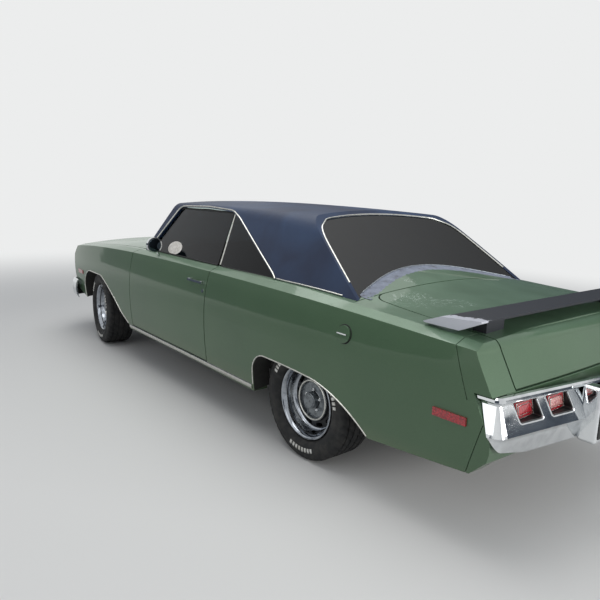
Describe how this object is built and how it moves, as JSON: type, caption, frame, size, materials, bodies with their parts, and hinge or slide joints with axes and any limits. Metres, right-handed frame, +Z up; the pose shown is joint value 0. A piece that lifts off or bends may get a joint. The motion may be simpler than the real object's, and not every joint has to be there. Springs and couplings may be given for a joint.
{
  "type": "two-door hardtop muscle car",
  "caption": "Two-door hardtop muscle car with long hood, vinyl roof, rear wing, opening doors, hood and deck lid, and steered front wheels.",
  "frame": {"origin": "on the ground at mid length on the centre line", "axes": "+X forward, +Y to the car's left, +Z up"},
  "size_m": [4.983, 1.8124, 1.3378],
  "materials": {
    "body_paint": "light green metallic enamel, weathered",
    "vinyl_roof": "weathered dark vinyl",
    "chrome": "polished chrome",
    "glass": "tinted",
    "rubber_tyre": "tyre rubber",
    "wheel_steel": "silver and grey wheel paint",
    "black_paint": "satin black",
    "underbody": "dark undercoat",
    "cast_metal": "cast and machined",
    "steel": "plain steel",
    "seat_vinyl": "black seat vinyl",
    "trim_plastic": "dark interior trim",
    "red_lens": "red lens",
    "clear_lens": "clear lens",
    "engine_paint": "engine enamel"
  },
  "bodies": {
    "root": {"left_fender": "body_paint", "right_fender": "body_paint", "left_quarter_panel": "body_paint", "right_quarter_panel": "body_paint", "sills": "body_paint", "cowl_panel": "body_paint", "nose_panel": "body_paint", "rear_deck_panel": "body_paint", "parcel_shelf": "trim_plastic", "quarter_caps": "body_paint", "lamp_housings": "black_paint", "boot_floor": "underbody", "wheel_housings": "underbody", "tail_panel": "body_paint", "roof": "vinyl_roof", "windshield": "glass", "backlight": "glass", "quarter_glass": "glass", "floor_pan": "underbody", "frame_rails": "underbody", "radiator": "black_paint", "engine": "engine_paint", "driveshaft": "steel", "rear_axle": "cast_metal", "leaf_springs": "steel", "exhaust": "steel", "fuel_tank": "steel", "front_suspension": "cast_metal", "front_bumper": "chrome", "rear_bumper": "chrome", "grille": "black_paint", "headlamps": "clear_lens", "tail_lamps": "red_lens", "marker_lamps": "red_lens", "fuel_cap": "body_paint", "front_seat": "seat_vinyl", "rear_seat": "seat_vinyl", "dashboard": "trim_plastic", "steering_wheel": "trim_plastic"},
    "left_door": {"left_door": "body_paint", "left_door_glass": "glass", "door_mirror": "chrome", "left_door_handle": "chrome"},
    "right_door": {"right_door": "body_paint", "right_door_glass": "glass", "right_door_handle": "chrome"},
    "hood": {"hood": "body_paint"},
    "deck_lid": {"deck_lid": "body_paint", "lid_hinges": "body_paint", "rear_wing": "black_paint"},
    "left_knuckle": {"left_knuckle": "cast_metal"},
    "right_knuckle": {"right_knuckle": "cast_metal"},
    "front_left_wheel": {"front_left_rim": "wheel_steel", "front_left_tyre": "rubber_tyre"},
    "front_right_wheel": {"front_right_rim": "wheel_steel", "front_right_tyre": "rubber_tyre"},
    "rear_left_wheel": {"rear_left_rim": "wheel_steel", "rear_left_tyre": "rubber_tyre"},
    "rear_right_wheel": {"rear_right_rim": "wheel_steel", "rear_right_tyre": "rubber_tyre"}
  },
  "joints": [
    {"name": "left_steering", "type": "hinge", "parent": "root", "child": "left_knuckle", "pos_m": [1.6375, 0.64, 0.32], "axis": [0, 0, 1], "range_deg": [-24, 40]},
    {"name": "front_left_spin", "type": "hinge", "parent": "left_knuckle", "child": "front_left_wheel", "pos_m": [1.65003, 0.72912, 0.32], "axis": [0.1392, 0.9903, 0], "continuous": true},
    {"name": "rear_left_spin", "type": "hinge", "parent": "root", "child": "rear_left_wheel", "pos_m": [-1.1815, 0.706, 0.32], "axis": [0, 1, 0], "continuous": true},
    {"name": "left_door_hinge", "type": "hinge", "parent": "root", "child": "left_door", "pos_m": [1.0035, 0.866, 0.6], "axis": [0, 0, -1], "range_deg": [0, 62]},
    {"name": "right_steering", "type": "hinge", "parent": "root", "child": "right_knuckle", "pos_m": [1.6375, -0.64, 0.32], "axis": [0, 0, 1], "range_deg": [-24, 40]},
    {"name": "front_right_spin", "type": "hinge", "parent": "right_knuckle", "child": "front_right_wheel", "pos_m": [1.62497, -0.72912, 0.32], "axis": [0.1392, 0.9903, 0], "continuous": true},
    {"name": "rear_right_spin", "type": "hinge", "parent": "root", "child": "rear_right_wheel", "pos_m": [-1.1815, -0.706, 0.32], "axis": [0, 1, 0], "continuous": true},
    {"name": "right_door_hinge", "type": "hinge", "parent": "root", "child": "right_door", "pos_m": [1.0035, -0.866, 0.6], "axis": [0, 0, 1], "range_deg": [0, 62]},
    {"name": "hood_hinge", "type": "hinge", "parent": "root", "child": "hood", "pos_m": [0.9935, 0, 0.952], "axis": [0, -1, 0], "range_deg": [0, 55]},
    {"name": "deck_lid_hinge", "type": "hinge", "parent": "root", "child": "deck_lid", "pos_m": [-1.2765, 0, 0.938], "axis": [0, 1, 0], "range_deg": [0, 70]}
  ],
  "couplings": [
    {"joint": "right_steering", "follows": "left_steering", "ratio": 1}
  ]
}
